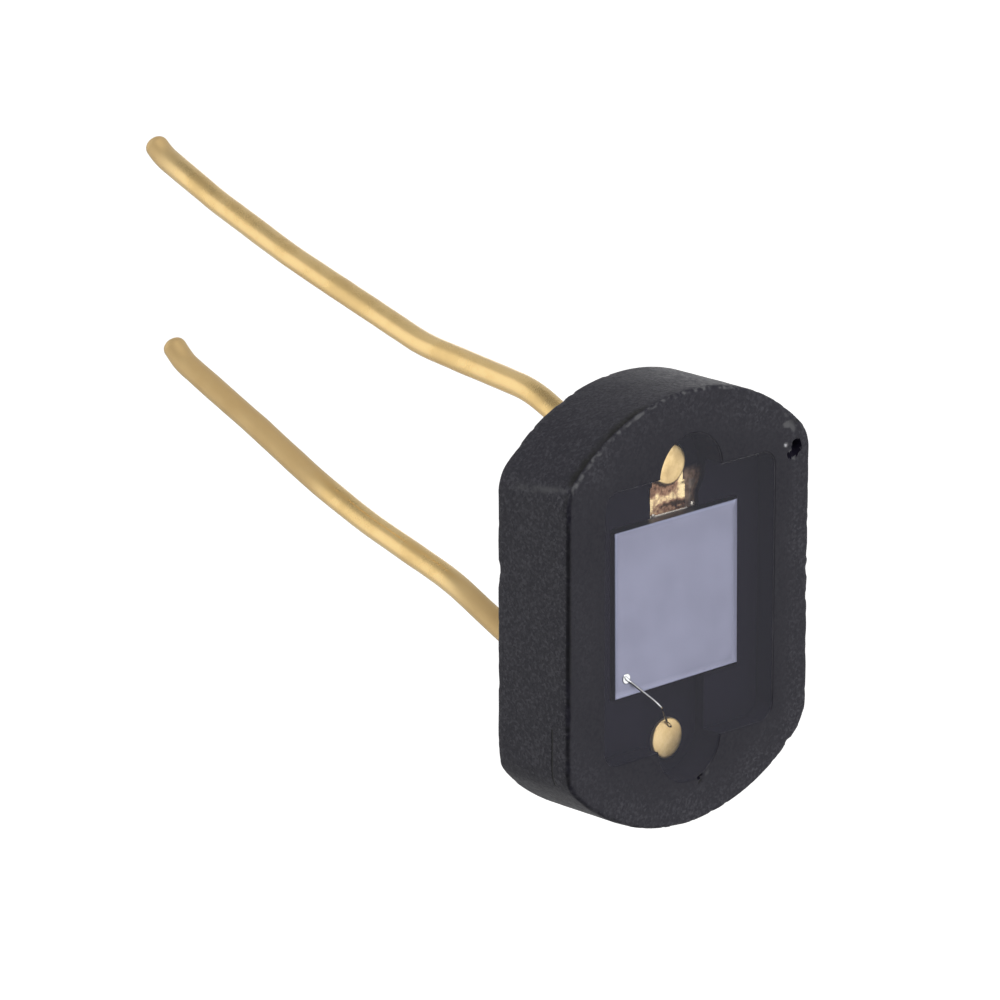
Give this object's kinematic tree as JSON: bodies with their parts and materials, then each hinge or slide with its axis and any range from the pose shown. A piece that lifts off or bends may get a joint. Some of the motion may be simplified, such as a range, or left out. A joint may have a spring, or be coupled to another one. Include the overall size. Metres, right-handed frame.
{
  "type": "silicon photodiode",
  "caption": "Silicon photodiode: a square die under clear resin in a recess of a black ceramic body with round ends and flat sides, with gold wire leads out of its back.",
  "frame": {"origin": "centre of the body's back face, where it seats on a board", "axes": "+Z out of the light-sensitive face, +Y towards the cathode lead, +X across the flats"},
  "size_m": [0.006, 0.0101, 0.0144],
  "materials": {
    "black_ceramic": "matte fired black ceramic with a fine grain",
    "gold_plating": "satin gold plating on drawn wire",
    "strap_gold": "mottled brownish gold",
    "silver_cement": "dull silver-filled cement",
    "silicon": "polished silicon with a lavender-grey anti-reflective coat",
    "contact_metal": "bright evaporated aluminium",
    "bond_wire_metal": "bright drawn aluminium wire",
    "clear_resin": "clear cast resin with a smooth face"
  },
  "bodies": {
    "root": {"ceramic_body": "black_ceramic", "cathode_lead": "gold_plating", "anode_lead": "gold_plating", "gold_strap": "strap_gold", "die_cement": "silver_cement", "silicon_die": "silicon", "die_contact": "contact_metal", "bond_wire": "bond_wire_metal", "clear_resin": "clear_resin"}
  },
  "joints": []
}
